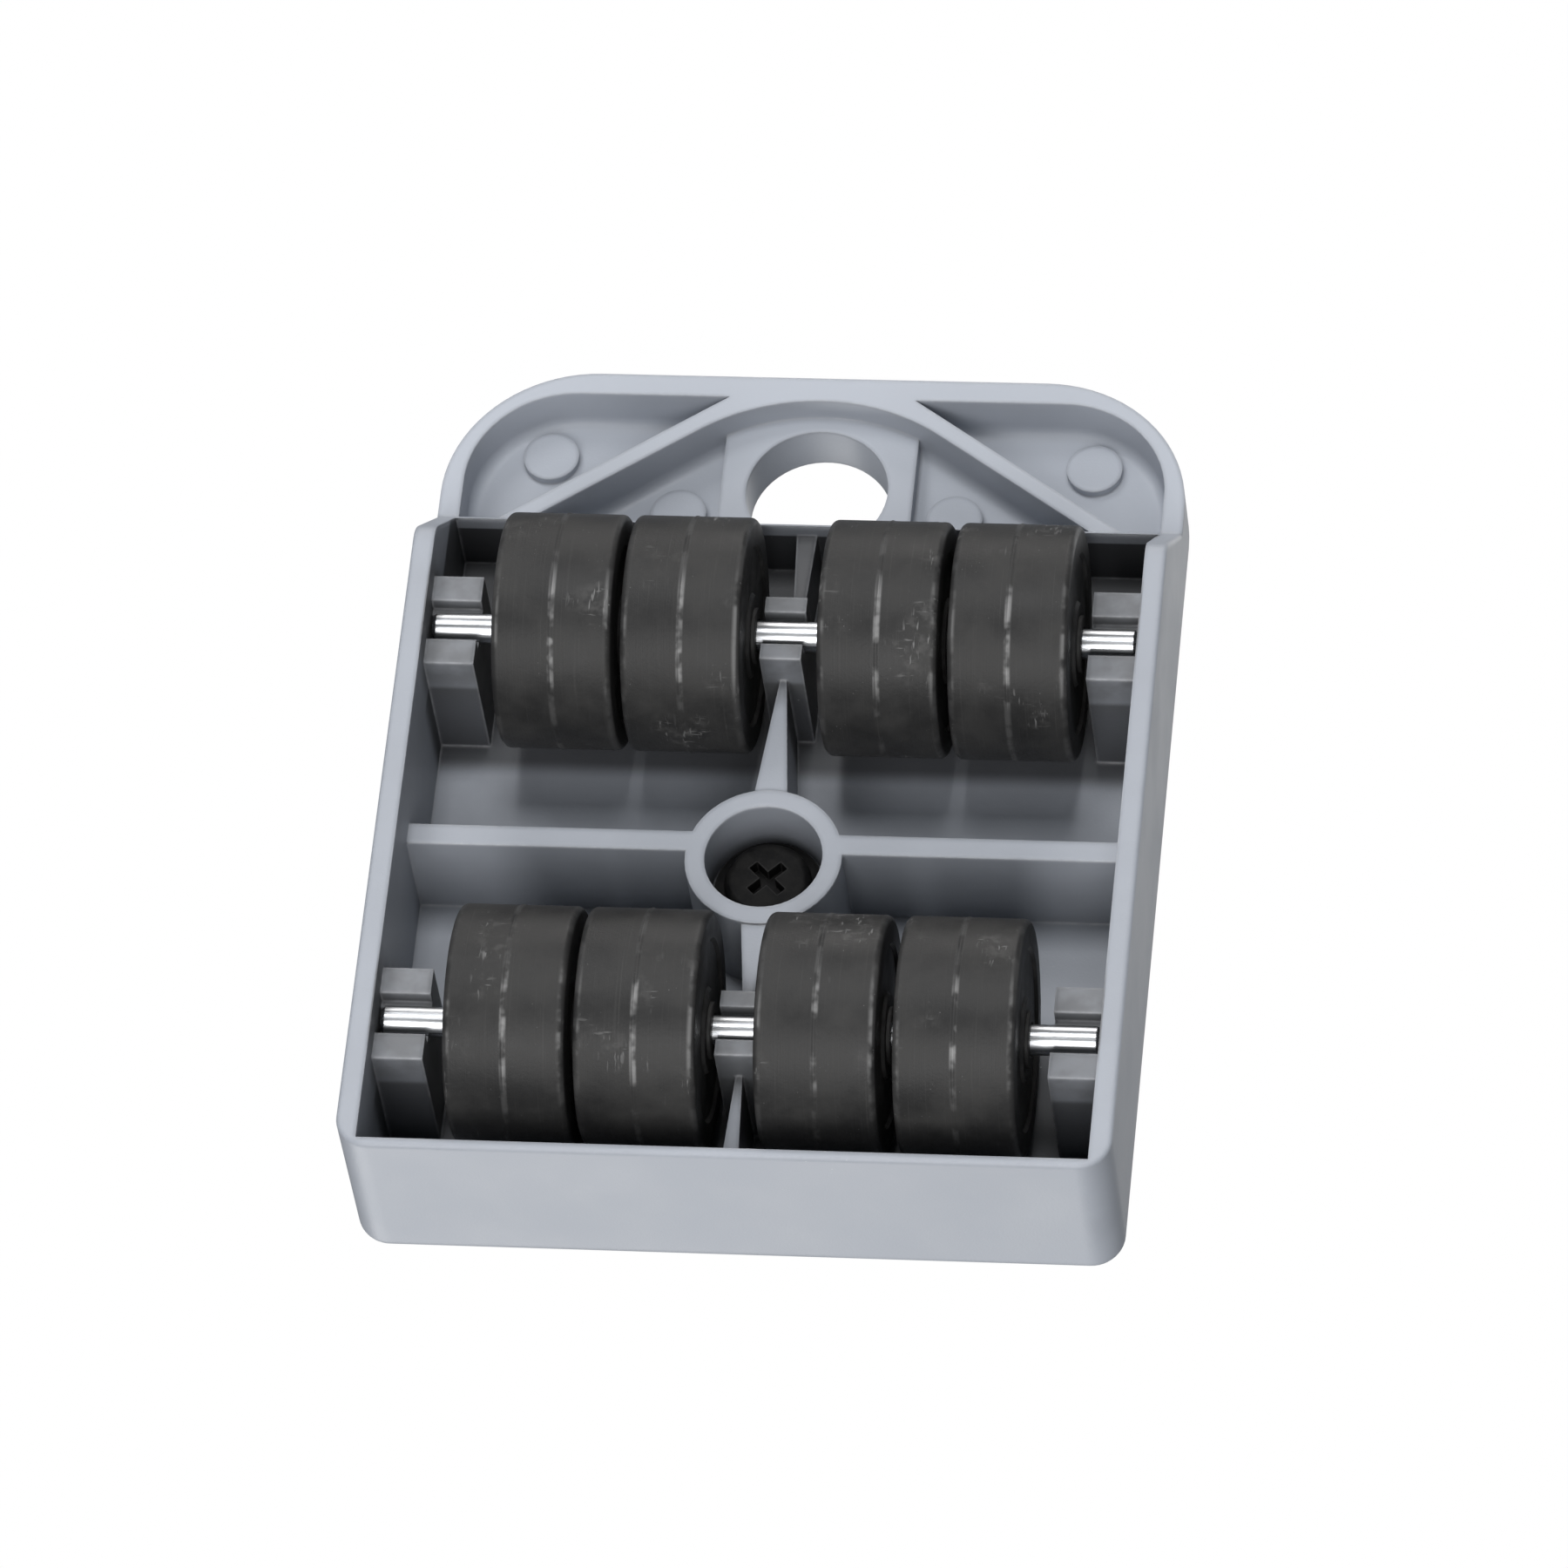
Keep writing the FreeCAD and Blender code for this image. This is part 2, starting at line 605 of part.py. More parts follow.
def write_steps():
    """Writes each piece to a file named after it."""
    os.makedirs("parts", exist_ok=True)
    for body in sub_parts():
        body.Shape.exportStep(os.path.join("parts", body.Label + ".step"))


base_housing()
axle("front_axle", FRONT_AXLE_Y)
axle("rear_axle", REAR_AXLE_Y)
wheels()
turntable()
anti_slip_pad()
pivot_washer()
pivot_screw()
doc.recompute()
check_document()
write_steps()
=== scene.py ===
import math

import bmesh
import bpy
from mathutils import Matrix, Vector


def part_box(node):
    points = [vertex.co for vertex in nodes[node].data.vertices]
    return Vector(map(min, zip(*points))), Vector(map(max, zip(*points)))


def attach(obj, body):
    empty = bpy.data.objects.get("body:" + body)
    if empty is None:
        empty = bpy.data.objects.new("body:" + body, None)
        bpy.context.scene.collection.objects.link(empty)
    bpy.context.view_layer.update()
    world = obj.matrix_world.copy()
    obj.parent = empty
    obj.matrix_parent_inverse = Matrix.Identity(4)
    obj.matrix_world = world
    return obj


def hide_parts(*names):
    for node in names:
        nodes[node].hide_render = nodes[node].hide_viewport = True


# A furniture mover pad, seen from underneath: a grey moulded tray, two axles with four dark
# wheels each, and on the other side a swivelling disc with a rubber grip. Metres, as in the frame.

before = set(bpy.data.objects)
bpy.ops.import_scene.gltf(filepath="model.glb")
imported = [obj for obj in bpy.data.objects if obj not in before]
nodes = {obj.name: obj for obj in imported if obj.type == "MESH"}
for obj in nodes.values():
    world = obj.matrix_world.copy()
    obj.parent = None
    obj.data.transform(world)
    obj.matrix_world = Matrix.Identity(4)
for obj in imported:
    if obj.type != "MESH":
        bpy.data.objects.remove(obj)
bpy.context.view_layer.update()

MM = 0.001
WHITE = (1.0, 1.0, 1.0)

# Places in the tray that its material needs: where the wheel bay ends, where the lip's painted light
# begins within the low back wall, that wall's rim, the side walls' and the plate's inner faces.
BAY_END = 32.2 * MM
LIP_LIGHT_START = 33.0 * MM
LOW_WALL_RIM = 19.9 * MM
INNER_SIDE = 37.7 * MM
TRAY_FLOOR = 26.7 * MM

ROUND_STEPS = 160
ARC_STEPS = 6
SHARP_EDGE_DEGREES = 32.0


def middle(node):
    """The middle of a CAD node's box."""
    low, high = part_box(node)
    return (low + high) / 2


# ---------------------------------------------------------------- helpers for node materials

class Material:
    """A node material under construction, with short calls for the nodes that are used here."""

    def __init__(self, name):
        self.material = bpy.data.materials.new(name)
        self.material.use_nodes = True
        self.tree = self.material.node_tree
        self.shader = self.tree.nodes["Principled BSDF"]
        self.output = self.tree.nodes["Material Output"]
        self.place = self.node("ShaderNodeTexCoord").outputs["Object"]

    def node(self, kind, **settings):
        made = self.tree.nodes.new(kind)
        for key, setting in settings.items():
            setattr(made, key, setting)
        return made

    def link(self, source, target):
        if hasattr(source, "is_output"):
            self.tree.links.new(source, target)
        elif hasattr(target.default_value, "__len__"):
            target.default_value = (*source, 1.0)[:len(target.default_value)]
        else:
            target.default_value = source

    def stretch(self, scale, shift=(0.0, 0.0, 0.0)):
        """Object coordinates scaled per axis, in features per metre."""
        mapping = self.node("ShaderNodeMapping")
        self.link(self.place, mapping.inputs["Vector"])
        mapping.inputs["Scale"].default_value = scale
        mapping.inputs["Location"].default_value = shift
        return mapping.outputs["Vector"]

    def noise(self, scale, detail=3.0, roughness=0.55, vector=None, distortion=0.0):
        made = self.node("ShaderNodeTexNoise")
        self.link(vector if vector is not None else self.place, made.inputs["Vector"])
        made.inputs["Scale"].default_value = scale
        made.inputs["Detail"].default_value = detail
        made.inputs["Roughness"].default_value = roughness
        made.inputs["Distortion"].default_value = distortion
        return made.outputs["Fac"]

    def spots(self, scale, vector=None):
        made = self.node("ShaderNodeTexVoronoi")
        self.link(vector if vector is not None else self.place, made.inputs["Vector"])
        made.inputs["Scale"].default_value = scale
        return made.outputs["Distance"]

    def math(self, operation, first, second=0.0):
        made = self.node("ShaderNodeMath", operation=operation)
        for source, target in zip((first, second), made.inputs):
            self.link(source, target)
        return made.outputs["Value"]

    def times(self, first, *others):
        """The product of two or more values."""
        product = first
        for other in others:
            product = self.math("MULTIPLY", product, other)
        return product

    def ramp(self, source, low, high, low_value=0.0, high_value=1.0):
        """A smooth step of a value between two limits."""
        made = self.node("ShaderNodeMapRange", interpolation_type="SMOOTHSTEP")
        self.link(source, made.inputs["Value"])
        made.inputs["From Min"].default_value = low
        made.inputs["From Max"].default_value = high
        made.inputs["To Min"].default_value = low_value
        made.inputs["To Max"].default_value = high_value
        return made.outputs["Result"]

    def mix(self, share, first, second):
        made = self.node("ShaderNodeMix", data_type="RGBA")
        self.link(share, made.inputs["Factor"])
        self.link(first, made.inputs["A"])
        self.link(second, made.inputs["B"])
        return made.outputs["Result"]

    def split(self, vector=None):
        made = self.node("ShaderNodeSeparateXYZ")
        self.link(vector if vector is not None else self.place, made.inputs["Vector"])
        return made.outputs

    def bump(self, height, distance, strength=1.0, normal=None):
        made = self.node("ShaderNodeBump")
        made.inputs["Strength"].default_value = strength
        made.inputs["Distance"].default_value = distance
        self.link(height, made.inputs["Height"])
        if normal is not None:
            self.link(normal, made.inputs["Normal"])
        return made.outputs["Normal"]

    def rounded(self, radius):
        """A normal that rounds sharp edges."""
        made = self.node("ShaderNodeBevel", samples=4)
        made.inputs["Radius"].default_value = radius
        return made.outputs["Normal"]

    def edge_share(self, radius):
        """How close a point is to a sharp edge, from 0 to 1."""
        true_normal = self.node("ShaderNodeNewGeometry").outputs["Normal"]
        dot = self.node("ShaderNodeVectorMath", operation="DOT_PRODUCT")
        self.link(self.rounded(radius), dot.inputs[0])
        self.link(true_normal, dot.inputs[1])
        return self.ramp(dot.outputs["Value"], 0.995, 0.80)

    def hollow_share(self, distance):
        """How enclosed a point is, from 0 in the open to 1 in a deep corner."""
        made = self.node("ShaderNodeAmbientOcclusion", samples=16)
        made.inputs["Distance"].default_value = distance
        return self.math("SUBTRACT", 1.0, made.outputs["AO"])

    def finish(self, colour, roughness, normal=None, metallic=0.0, specular=0.5):
        self.link(colour, self.shader.inputs["Base Color"])
        self.link(roughness, self.shader.inputs["Roughness"])
        self.shader.inputs["Metallic"].default_value = metallic
        self.shader.inputs["Specular IOR Level"].default_value = specular
        if normal is not None:
            self.link(normal, self.shader.inputs["Normal"])
        return self.material


# ---------------------------------------------------------------- materials

# The grey plastic's colours, the painted shade and painted light in the tray and how strong each one is.
PLASTIC_GREY = (0.252, 0.270, 0.303)
CORNER_SHADE = (0.024, 0.025, 0.028)
DEEP_SHADE = (0.030, 0.031, 0.034)
SEAT_SHADE = (0.060, 0.062, 0.064)
WORN_AND_HIGHLIGHT_GREY = (0.52, 0.53, 0.56)
FLECK_GREY = (0.50, 0.51, 0.53)
LIP_PAINTED_LIGHT = 1.34
LIP_LIGHT_SHARE = 0.75
ABREAST_SHADE_SHARE = 0.84
BEHIND_SHADE_SHARE = 0.94
CORNER_SHADE_SHARE = 0.84


def from_axis(m, y, z, centre):
    """The distance of a point from a line along X through a centre."""
    off_y = m.math("SUBTRACT", y, centre.y)
    off_z = m.math("SUBTRACT", z, centre.z)
    square = m.math("ADD", m.times(off_y, off_y), m.times(off_z, off_z))
    return m.math("SQRT", square)


def near_axles(m, y, z):
    """How close a point is to either axle, from 0 to 1 at the rod."""
    shares = [m.ramp(from_axis(m, y, z, middle(name)), 8.5 * MM, 5.0 * MM)
              for name in ("front_axle", "rear_axle")]
    return m.math("MAXIMUM", *shares)


def deep_shade_places(m, y, z):
    """The painted shade in the bay abreast of each axle and behind the rear one, from 0 to 1."""
    front, rear = middle("front_axle"), middle("rear_axle")
    depth = m.ramp(z, rear.z + 2.5 * MM, rear.z + 3.5 * MM)
    abreast = [m.ramp(m.math("ABSOLUTE", m.math("SUBTRACT", y, centre.y)), 9.5 * MM, 7.0 * MM)
               for centre in (front, rear)]
    cradle_shade = m.times(m.math("MAXIMUM", *abreast), ABREAST_SHADE_SHARE)
    # The painted shade is darkest behind the rear wheels, but the low wall's rim is left as it is.
    off_rim = m.math("MAXIMUM", m.ramp(y, BAY_END - 0.05 * MM, BAY_END - 0.15 * MM),
                     m.ramp(z, LOW_WALL_RIM + 0.1 * MM, LOW_WALL_RIM + 0.4 * MM))
    behind = m.times(m.ramp(y, rear.y + MM, rear.y + 4 * MM), m.times(off_rim, BEHIND_SHADE_SHARE))
    return m.times(m.math("MAXIMUM", cradle_shade, behind), depth)


def tray_painted_shade_and_light(m, body):
    """Paints shade into the deep parts of the wheel bay and paints light onto the lip's underside.

    The tones stand in for the deep shade in the photograph, where shade and dirt look alike.
    """
    x, y, z = m.split()
    hollow = m.hollow_share(13 * MM)
    behind_bay = m.ramp(y, LIP_LIGHT_START, LIP_LIGHT_START + MM)
    facing = m.split(m.node("ShaderNodeNewGeometry").outputs["Normal"])[2]
    downward = m.times(facing, -1.0)
    sheltered = m.math("MAXIMUM", m.ramp(downward, 0.2, 0.6), m.ramp(hollow, 0.10, 0.30))
    # Painted light: the lip's underside is lightened where it faces down or lies enclosed.
    lip = m.times(behind_bay, sheltered, LIP_LIGHT_SHARE)
    body = m.mix(lip, body, [LIP_PAINTED_LIGHT * c for c in PLASTIC_GREY])
    before_lip = m.math("SUBTRACT", 1.0, behind_bay)
    between_walls = m.ramp(m.math("ABSOLUTE", x), INNER_SIDE + 0.2 * MM, INNER_SIDE + 0.1 * MM)
    below_plate = m.ramp(z, TRAY_FLOOR + 0.6 * MM, TRAY_FLOOR + 0.3 * MM)
    bay = m.times(before_lip, m.times(between_walls, below_plate))
    # Painted shade in the bay's enclosed corners.
    corners = m.times(m.ramp(hollow, 0.62, 0.97), m.times(bay, CORNER_SHADE_SHARE))
    body = m.mix(corners, body, CORNER_SHADE)
    # Painted shade abreast of the axles and behind the rear wheels.
    body = m.mix(m.times(deep_shade_places(m, y, z), bay), body, DEEP_SHADE)
    # Painted shade, in patches, close round the axles.
    patchy = m.ramp(m.noise(240.0, 3.0), 0.3, 0.6, 0.58, 0.80)
    seat_shade = m.times(near_axles(m, y, z), patchy, bay)
    return m.mix(seat_shade, body, SEAT_SHADE)


def grey_plastic(name, is_tray=False):
    """Satin moulded plastic with soft mottling, lighter edges that are partly rubbed wear and partly a
    painted highlight, and a few flecks.
    """
    m = Material(name)
    cloudy = m.noise(90.0, 4.0, 0.6)
    darker = [0.955 * c for c in PLASTIC_GREY]
    lighter = [1.04 * c for c in PLASTIC_GREY]
    body = m.mix(m.ramp(cloudy, 0.35, 0.7), darker, lighter)
    flow = m.noise(14.0, 2.0, 0.5, distortion=1.5)
    body = m.mix(m.times(m.ramp(flow, 0.45, 0.75), 0.3), body, [0.90 * c for c in PLASTIC_GREY])
    if is_tray:
        body = tray_painted_shade_and_light(m, body)
    edge = m.edge_share(0.5 * MM)
    # Lighter edges: partly rubbed wear, partly a painted highlight.
    worn_and_highlight = m.times(edge, m.ramp(m.noise(700.0, 2.0), 0.2, 0.8, 0.35, 1.0))
    body = m.mix(m.times(worn_and_highlight, 0.50), body, WORN_AND_HIGHLIGHT_GREY)
    flecks = m.times(m.ramp(m.spots(900.0), 0.12, 0.05), m.ramp(m.noise(160.0), 0.62, 0.72))
    body = m.mix(m.times(flecks, 0.35), body, FLECK_GREY)
    grain = m.noise(3500.0, 2.0, 0.6)
    normal = m.bump(grain, 0.03 * MM, 0.5, m.rounded(0.8 * MM))
    rough = m.ramp(cloudy, 0.3, 0.75, 0.42, 0.55)
    return m.finish(body, rough, normal, specular=0.45)


WHEEL_DARK = (0.012, 0.012, 0.0122)
WHEEL_LIGHT = (0.025, 0.0247, 0.0243)
RING_GREY = (0.045, 0.044, 0.043)
RUBBED_AND_HIGHLIGHT_GREY = (0.20, 0.20, 0.20)
SOFT_GREY = (0.12, 0.118, 0.116)
DUST_GREY = (0.26, 0.26, 0.26)


def dark_plastic(name, seed, centre, half_width, radius):
    """Charcoal wheel plastic: fine turned rings, a rubbed seam and rims with a painted highlight, faint
    scuffs and flecks.
    """
    m = Material(name)
    x, y, z = m.split()
    tread = m.ramp(from_axis(m, y, z, centre), radius - 1.2 * MM, radius - 0.7 * MM)
    shift = (seed * 0.37, seed * 0.21, seed * 0.53)
    place = m.stretch((1.0, 1.0, 1.0), shift)
    cloudy = m.noise(160.0, 4.0, 0.6, place)
    body = m.mix(m.ramp(cloudy, 0.3, 0.75), WHEEL_DARK, WHEEL_LIGHT)
    # Fine rings turned into the tread: noise drawn out around the axle.
    rings = m.times(m.noise(1.0, 3.0, 0.7, m.stretch((5200.0, 60.0, 60.0), shift)), tread)
    body = m.mix(m.times(m.ramp(rings, 0.55, 0.8), 0.35), body, RING_GREY)
    # The seam and the two rims of the tread are rubbed pale in patches and carry a painted highlight.
    off_middle = m.math("ABSOLUTE", m.math("SUBTRACT", x, centre.x))
    seam = m.ramp(off_middle, 0.45 * MM, 0.15 * MM)
    rim = m.times(m.ramp(off_middle, half_width - 1.3 * MM, half_width - 0.8 * MM),
                  m.ramp(off_middle, half_width - 0.42 * MM, half_width - 0.5 * MM))
    patchy = m.ramp(m.noise(260.0, 3.0, 0.6, place), 0.44, 0.60, 0.05, 1.0)
    rubbed = m.times(m.math("MAXIMUM", seam, m.times(rim, 0.6)), patchy)
    # The rub carries a painted highlight, so it shows most where it is seen square on.
    glancing = m.node("ShaderNodeLayerWeight").outputs["Facing"]
    rubbed = m.times(rubbed, m.ramp(glancing, 0.03, 0.20, 1.0, 0.16))
    body = m.mix(m.times(rubbed, 0.85), body, RUBBED_AND_HIGHLIGHT_GREY)
    # Short dashes, along the tread and across it, that gather in a few soft pale patches.
    gather = m.times(m.ramp(m.noise(120.0, 2.0, 0.5, place), 0.54, 0.70), tread)
    along = m.ramp(m.noise(1.0, 2.0, 0.5, m.stretch((2600.0, 480.0, 480.0), shift)), 0.62, 0.72)
    across = m.ramp(m.noise(1.0, 2.0, 0.5, m.stretch((420.0, 2200.0, 2200.0), shift)), 0.64, 0.74)
    dashes = m.times(gather, m.math("MAXIMUM", along, across))
    body = m.mix(m.times(dashes, 0.55), body, RUBBED_AND_HIGHLIGHT_GREY)
    soft = m.times(gather, m.ramp(m.noise(900.0, 2.0, 0.5, place), 0.46, 0.72))
    body = m.mix(m.times(soft, 0.22), body, SOFT_GREY)
    dust = m.times(m.ramp(m.spots(1700.0, place), 0.13, 0.05),
                   m.ramp(m.noise(300.0, 2.0, 0.5, place), 0.55, 0.7))
    body = m.mix(m.times(dust, 0.3), body, DUST_GREY)
    normal = m.bump(m.noise(2600.0, 3.0, 0.65, place), 0.04 * MM, 0.5)
    normal = m.bump(rings, 0.04 * MM, 0.4, normal)
    rough = m.ramp(cloudy, 0.3, 0.75, 0.45, 0.60)
    rough = m.math("SUBTRACT", rough, m.times(rubbed, 0.12))
    return m.finish(body, rough, normal, specular=0.20)


def zinc_steel(name):
    """Bright drawn steel rod with fine lengthwise lines."""
    m = Material(name)
    lines = m.noise(1.0, 3.0, 0.6, m.stretch((60.0, 4500.0, 4500.0)))
    body = m.mix(m.ramp(lines, 0.3, 0.7), (0.30, 0.31, 0.32), (0.46, 0.47, 0.49))
    spots = m.ramp(m.noise(420.0, 3.0), 0.62, 0.75)
    body = m.mix(m.times(spots, 0.4), body, (0.42, 0.42, 0.43))
    normal = m.bump(lines, 0.01 * MM, 0.25, m.rounded(0.2 * MM))
    rough = m.ramp(lines, 0.3, 0.7, 0.24, 0.34)
    return m.finish(body, rough, normal, metallic=1.0)


def black_steel(name):
    """Blackened screw steel, a little lighter on its edges."""
    m = Material(name)
    cloudy = m.noise(600.0, 3.0)
    body = m.mix(m.ramp(cloudy, 0.35, 0.7), (0.004, 0.004, 0.0042), (0.010, 0.0098, 0.0096))
    body = m.mix(m.times(m.edge_share(0.3 * MM), 0.5), body, (0.07, 0.069, 0.068))
    normal = m.bump(m.noise(3000.0, 2.0), 0.03 * MM, 0.5, m.rounded(0.2 * MM))
    return m.finish(body, m.ramp(cloudy, 0.3, 0.7, 0.42, 0.58), normal, metallic=0.1, specular=0.06)


def grip_rubber(name):
    """Dull black rubber, a little paler in the hollows between the studs."""
    m = Material(name)
    cloudy = m.noise(120.0, 4.0)
    body = m.mix(m.ramp(cloudy, 0.35, 0.7), (0.026, 0.026, 0.027), (0.050, 0.050, 0.052))
    dusty = m.times(m.ramp(m.hollow_share(1.5 * MM), 0.15, 0.6), m.ramp(m.noise(60.0), 0.35, 0.7))
    body = m.mix(m.times(dusty, 0.35), body, (0.22, 0.215, 0.21))
    normal = m.bump(m.noise(2200.0, 3.0, 0.7), 0.06 * MM, 0.6)
    return m.finish(body, m.ramp(cloudy, 0.3, 0.7, 0.66, 0.82), normal, specular=0.35)


# ---------------------------------------------------------------- helpers for meshes

def new_object(name, mesh_source, material, body, replaced):
    """Makes an object from a bmesh, rides it on a body and lets it stand for a CAD node."""
    mesh = bpy.data.meshes.new(name)
    bmesh.ops.recalc_face_normals(mesh_source, faces=mesh_source.faces)
    mesh_source.to_mesh(mesh)
    mesh_source.free()
    mesh.materials.append(material)
    made = bpy.data.objects.new(name, mesh)
    bpy.context.scene.collection.objects.link(made)
    smooth_by_angle(mesh)
    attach(made, body)
    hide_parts(replaced)
    return made


def smooth_by_angle(mesh):
    """Smooth shading that keeps edges sharper than an angle."""
    mesh.shade_smooth()
    sharp = math.radians(SHARP_EDGE_DEGREES)
    source = bmesh.new()
    source.from_mesh(mesh)
    for edge in source.edges:
        edge.smooth = len(edge.link_faces) == 2 and edge.calc_face_angle(0.0) < sharp
    source.to_mesh(mesh)
    source.free()


def turned(profile):
    """A closed ring solid about X from a closed profile of (x, radius)."""
    source = bmesh.new()
    rings = []
    for step in range(ROUND_STEPS):
        angle = 2 * math.pi * step / ROUND_STEPS
        rings.append([source.verts.new((x, radius * math.cos(angle), radius * math.sin(angle)))
                      for x, radius in profile])
    count = len(profile)
    for step in range(ROUND_STEPS):
        here, there = rings[step], rings[(step + 1) % ROUND_STEPS]
        for index in range(count):
            after = (index + 1) % count
            source.faces.new((here[index], here[after], there[after], there[index]))
    return source


def arc(centre, radius, start, end):
    """Points on an arc in a profile, angles in degrees."""
    points = []
    for step in range(ARC_STEPS + 1):
        angle = math.radians(start + (end - start) * step / ARC_STEPS)
        points.append((centre[0] + radius * math.cos(angle), centre[1] + radius * math.sin(angle)))
    return points


# ---------------------------------------------------------------- wheels

WHEEL_BORE = 1.68 * MM
HUB = 3.0 * MM
HUB_STEP = 0.4 * MM
TREAD_ROUND = 0.7 * MM
SEAM_HALF = 0.16 * MM
SEAM_HEIGHT = 0.08 * MM
DISH = 0.35 * MM
DISH_INNER = 4.2 * MM
DISH_OUTER = 9.6 * MM


def wheel_half_profile(half_width, radius):
    """One half of a wheel's section, from the middle of the tread round to the bore."""
    crown = radius - SEAM_HEIGHT
    face = half_width - HUB_STEP
    points = [(SEAM_HALF * 0.3, radius), (SEAM_HALF, crown + 0.02 * MM), (SEAM_HALF * 2.2, crown)]
    points += arc((face - TREAD_ROUND, crown - TREAD_ROUND), TREAD_ROUND, 90, 0)
    points += [(face, DISH_OUTER), (face - DISH, DISH_OUTER - DISH), (face - DISH, DISH_INNER + DISH)]
    points += [(face, DISH_INNER), (face, HUB), (half_width - 0.1 * MM, HUB), (half_width, HUB - 0.1 * MM)]
    points += [(half_width, WHEEL_BORE + 0.2 * MM), (half_width - 0.2 * MM, WHEEL_BORE)]
    return points


def wheel(node, seed):
    """A wheel with dished faces, a fine moulding seam round the tread and its own scuffs."""
    low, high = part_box(node)
    half_width, radius = (high.x - low.x) / 2, (high.z - low.z) / 2
    half = wheel_half_profile(half_width, radius)
    source = turned(half + [(-x, r) for x, r in reversed(half)])
    source.transform(Matrix.Translation(middle(node)))
    material = dark_plastic(node + "_plastic", seed, middle(node), half_width, radius)
    return new_object(node + "_moulding", source, material, node, node)


# ---------------------------------------------------------------- gripping pad

STUD_PITCH = 3.3 * MM
STUD_RADIUS = 1.15 * MM
STUD_HEIGHT = 0.45 * MM
PAD_RIM = 2.2 * MM
STUD_SIDES = 12


def pad_disc(low, high):
    """The pad's disc: a flat field with a raised, rounded rim."""
    radius = (high.x - low.x) / 2
    top = high.z - low.z
    field = top - STUD_HEIGHT
    section = [(0.0, 0.0), (radius - 0.2 * MM, 0.0), (radius, 0.2 * MM)]
    section += arc((radius - 0.6 * MM, top - 0.6 * MM), 0.6 * MM, 0, 90)
    section += [(radius - PAD_RIM, top), (radius - PAD_RIM - 0.3 * MM, field), (0.0, field)]
    source = bmesh.new()
    rings = []
    for r, z in section:
        if r == 0.0:
            rings.append([source.verts.new((0.0, 0.0, z))])
            continue
        rings.append([source.verts.new((r * math.cos(2 * math.pi * k / ROUND_STEPS),
                                        r * math.sin(2 * math.pi * k / ROUND_STEPS), z))
                      for k in range(ROUND_STEPS)])
    for inner, outer in zip(rings, rings[1:]):
        for k in range(ROUND_STEPS):
            after = (k + 1) % ROUND_STEPS
            corners = [inner[k % len(inner)], outer[k % len(outer)],
                       outer[after % len(outer)], inner[after % len(inner)]]
            source.faces.new(list(dict.fromkeys(corners)))
    return source, field, radius


def add_stud(source, x, y, foot):
    """A low round stud with a domed top, standing a little into the disc."""
    levels = [(STUD_RADIUS, foot - 0.1 * MM), (STUD_RADIUS * 0.94, foot + STUD_HEIGHT * 0.6),
              (STUD_RADIUS * 0.62, foot + STUD_HEIGHT * 0.96)]
    angles = [2 * math.pi * k / STUD_SIDES for k in range(STUD_SIDES)]
    rings = [[source.verts.new((x + r * math.cos(angle), y + r * math.sin(angle), z)) for angle in angles]
             for r, z in levels]
    for lower, upper in zip(rings, rings[1:]):
        for k in range(STUD_SIDES):
            after = (k + 1) % STUD_SIDES
            source.faces.new((lower[k], lower[after], upper[after], upper[k]))
    source.faces.new(rings[-1])
    source.faces.new(list(reversed(rings[0])))


def grip_pad():
    """The round rubber pad: a rim round a field of small domed studs in a staggered grid."""
    low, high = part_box("anti_slip_pad")
    source, field, radius = pad_disc(low, high)
    row_step = STUD_PITCH * math.sqrt(3) / 2
    reach = radius - PAD_RIM - STUD_RADIUS - 0.6 * MM
    rows = int(reach / row_step)
    for row in range(-rows, rows + 1):
        y = row * row_step
        offset = STUD_PITCH / 2 if row % 2 else 0.0
        columns = int(reach / STUD_PITCH) + 1
        for column in range(-columns, columns + 1):
            x = column * STUD_PITCH + offset
            if math.hypot(x, y) < reach:
                add_stud(source, x, y, field)
    centre = middle("anti_slip_pad")
    source.transform(Matrix.Translation((centre.x, centre.y, low.z)))
    return new_object("grip_pad", source, grip_rubber("grip_rubber"), "swivel", "anti_slip_pad")


# ---------------------------------------------------------------- build

def paint(node, material):
    """Gives a CAD node that stays in view its material."""
    nodes[node].data.materials.clear()
    nodes[node].data.materials.append(material)


paint("base_housing", grey_plastic("tray_plastic", is_tray=True))
paint("turntable", grey_plastic("turntable_plastic"))
steel = zinc_steel("zinc_steel")
paint("front_axle", steel)
paint("rear_axle", steel)
black = black_steel("black_steel")
paint("pivot_screw", black)
paint("pivot_washer", black)
for seed, name in enumerate(sorted(n for n in nodes if "_wheel_" in n)):
    wheel(name, seed + 1)
grip_pad()


# ---------------------------------------------------------------- stage

OBJECT_MIDDLE = Vector((0, 0, 17 * MM))
FLOOR_SIZE = 6.0
FLOOR_DARK = (0.48, 0.48, 0.48)
FLOOR_LIGHT = (0.51, 0.51, 0.51)
FLOOR_GLOW = 0.42
WORLD_TINT = (0.93, 0.96, 1.0)


